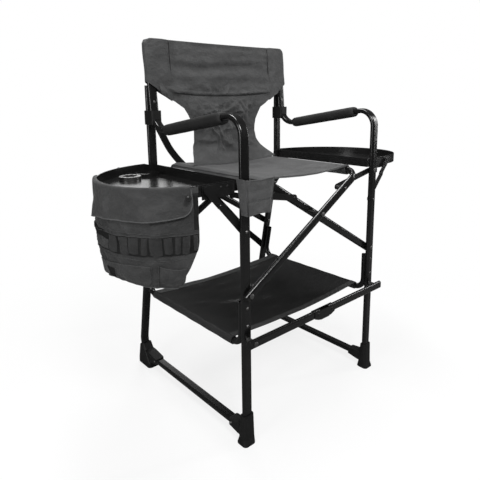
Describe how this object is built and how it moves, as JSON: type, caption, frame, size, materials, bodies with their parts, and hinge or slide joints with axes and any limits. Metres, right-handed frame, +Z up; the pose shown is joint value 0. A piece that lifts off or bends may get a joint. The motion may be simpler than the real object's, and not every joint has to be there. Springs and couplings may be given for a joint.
{
  "type": "folding makeup chair",
  "caption": "Tall folding makeup chair with sling seat and back, foam armrests, drop-down side trays, mesh shelf, folding front bar and hanging pouches",
  "frame": {"origin": "on the floor under the middle of the whole chair, trays and pouch included", "axes": "+Z up, -Y the way the sitter faces, +X to the sitter's left; metres"},
  "size_m": [1.144, 0.6238, 1.1205],
  "materials": {
    "black_tube": "satin black powder coat on tube and flat steel",
    "black_plastic": "matt black moulded plastic",
    "tray_plastic": "smooth black moulded plastic",
    "steel_rivets": "plain steel rivets and bolts",
    "metal_trim": "dull metal trim",
    "foam": "dark closed foam sleeve",
    "canvas": "charcoal woven polyester",
    "mesh": "black open mesh",
    "webbing": "black woven webbing"
  },
  "bodies": {
    "right_frame": {"right_arm_tube": "black_tube", "right_base_tube": "black_tube", "right_front_foot": "black_plastic", "right_rear_foot": "black_plastic", "right_rear_clamp": "black_plastic", "right_arm_grip": "foam", "right_leg_plug": "black_plastic", "right_shelf_rail": "black_tube", "right_frame_bolts": "steel_rivets", "right_hinge_brackets": "black_tube", "phone_pouch": "canvas", "back_sling": "canvas", "shelf_mesh": "mesh", "carry_strap": "webbing"},
    "left_frame": {"left_arm_tube": "black_tube", "left_base_tube": "black_tube", "left_front_foot": "black_plastic", "left_rear_foot": "black_plastic", "left_rear_clamp": "black_plastic", "left_arm_grip": "foam", "left_leg_plug": "black_plastic", "left_shelf_rail": "black_tube", "left_frame_bolts": "steel_rivets", "left_hinge_brackets": "black_tube"},
    "scissor_a": {"scissor_tube_a": "black_tube", "arm_plugs_a": "black_plastic", "arm_rivet_a": "steel_rivets", "cross_bolts": "steel_rivets", "seat_sling": "canvas"},
    "scissor_b": {"scissor_tube_b": "black_tube", "arm_plugs_b": "black_plastic", "arm_rivet_b": "steel_rivets"},
    "right_link": {"right_link": "black_tube"},
    "left_link": {"left_link": "black_tube"},
    "bar_right": {"right_bar_half": "black_tube", "right_bar_cap": "black_plastic"},
    "bar_plate": {"bar_knee_plate": "black_tube"},
    "bar_left": {"left_bar_half": "black_tube", "left_bar_cap": "black_plastic"},
    "right_tray": {"right_tray": "tray_plastic", "right_tray_ears": "black_plastic", "cup_ring": "tray_plastic", "lobed_holder": "metal_trim", "tool_pouch": "canvas", "pouch_flap": "canvas", "brush_loops": "canvas", "pouch_button": "metal_trim", "pouch_tab": "black_plastic"},
    "left_tray": {"left_tray": "tray_plastic", "left_tray_ears": "black_plastic"},
    "right_stay_long": {"right_stay_lower": "black_tube"},
    "right_stay_short": {"right_stay_upper": "black_tube"},
    "left_stay_long": {"left_stay_lower": "black_tube"},
    "left_stay_short": {"left_stay_upper": "black_tube"}
  },
  "joints": [
    {"name": "fold", "type": "hinge", "parent": "right_frame", "child": "scissor_a", "pos_m": [-0.26695, -0.28508, 0.442], "axis": [0, -1, 0], "range_deg": [0, 44.5], "deforming": ["seat_sling", "back_sling", "shelf_mesh", "carry_strap"]},
    {"name": "crossing", "type": "hinge", "parent": "scissor_a", "child": "scissor_b", "pos_m": [0.01305, -0.26858, 0.61024], "axis": [0, 1, 0], "range_deg": [0, 89.1]},
    {"name": "left_frame_pivot", "type": "hinge", "parent": "scissor_b", "child": "left_frame", "pos_m": [0.29305, -0.25208, 0.442], "axis": [0, -1, 0], "range_deg": [0, 44.6]},
    {"name": "right_link_pivot", "type": "hinge", "parent": "right_frame", "child": "right_link", "pos_m": [-0.26695, -0.27808, 0.70665], "axis": [0, -1, 0], "range_deg": [0, 83.94]},
    {"name": "left_link_pivot", "type": "hinge", "parent": "left_frame", "child": "left_link", "pos_m": [0.29305, -0.25908, 0.70665], "axis": [0, 1, 0], "range_deg": [0, 83.94]},
    {"name": "bar_right_pivot", "type": "hinge", "parent": "right_frame", "child": "bar_right", "pos_m": [-0.26695, -0.30188, 0.314], "axis": [0, -1, 0], "range_deg": [0, 78.53]},
    {"name": "bar_knee_right", "type": "hinge", "parent": "bar_right", "child": "bar_plate", "pos_m": [-0.01845, -0.30188, 0.314], "axis": [0, 1, 0], "range_deg": [0, 78.53]},
    {"name": "bar_knee_left", "type": "hinge", "parent": "bar_plate", "child": "bar_left", "pos_m": [0.04455, -0.30188, 0.314], "axis": [0, 1, 0], "range_deg": [0, 78.53]},
    {"name": "right_tray_hinge", "type": "hinge", "parent": "right_frame", "child": "right_tray", "pos_m": [-0.28995, -0.26858, 0.706], "axis": [0, -1, 0], "range_deg": [0, 90], "deforming": ["tool_pouch", "pouch_flap", "brush_loops"]},
    {"name": "right_stay_leg", "type": "hinge", "parent": "right_frame", "child": "right_stay_long", "pos_m": [-0.26695, -0.26858, 0.61], "axis": [0, -1, 0], "range_deg": [0, 53.73]},
    {"name": "right_stay_knee", "type": "hinge", "parent": "right_stay_long", "child": "right_stay_short", "pos_m": [-0.33489, -0.26858, 0.6862], "axis": [0, -1, 0], "range_deg": [-164.12, 0]},
    {"name": "left_tray_hinge", "type": "hinge", "parent": "left_frame", "child": "left_tray", "pos_m": [0.31605, -0.26858, 0.706], "axis": [0, 1, 0], "range_deg": [0, 90]},
    {"name": "left_stay_leg", "type": "hinge", "parent": "left_frame", "child": "left_stay_long", "pos_m": [0.29305, -0.26858, 0.61], "axis": [0, 1, 0], "range_deg": [0, 53.73]},
    {"name": "left_stay_knee", "type": "hinge", "parent": "left_stay_long", "child": "left_stay_short", "pos_m": [0.361, -0.26858, 0.6862], "axis": [0, 1, 0], "range_deg": [-164.12, 0]}
  ],
  "couplings": [
    {"joint": "crossing", "follows": "fold", "ratio": 2},
    {"joint": "left_frame_pivot", "follows": "fold", "ratio": 1},
    {"joint": "right_link_pivot", "follows": "fold", "ratio": 1.8819},
    {"joint": "left_link_pivot", "follows": "fold", "ratio": 1.8819},
    {"joint": "bar_right_pivot", "follows": "fold", "ratio": 1.7601},
    {"joint": "bar_knee_right", "follows": "fold", "ratio": 1.7601},
    {"joint": "bar_knee_left", "follows": "fold", "ratio": 1.7601},
    {"joint": "right_stay_leg", "follows": "right_tray_hinge", "ratio": 0.59476},
    {"joint": "right_stay_knee", "follows": "right_tray_hinge", "ratio": -1.8214},
    {"joint": "left_stay_leg", "follows": "left_tray_hinge", "ratio": 0.59476},
    {"joint": "left_stay_knee", "follows": "left_tray_hinge", "ratio": -1.8214}
  ]
}
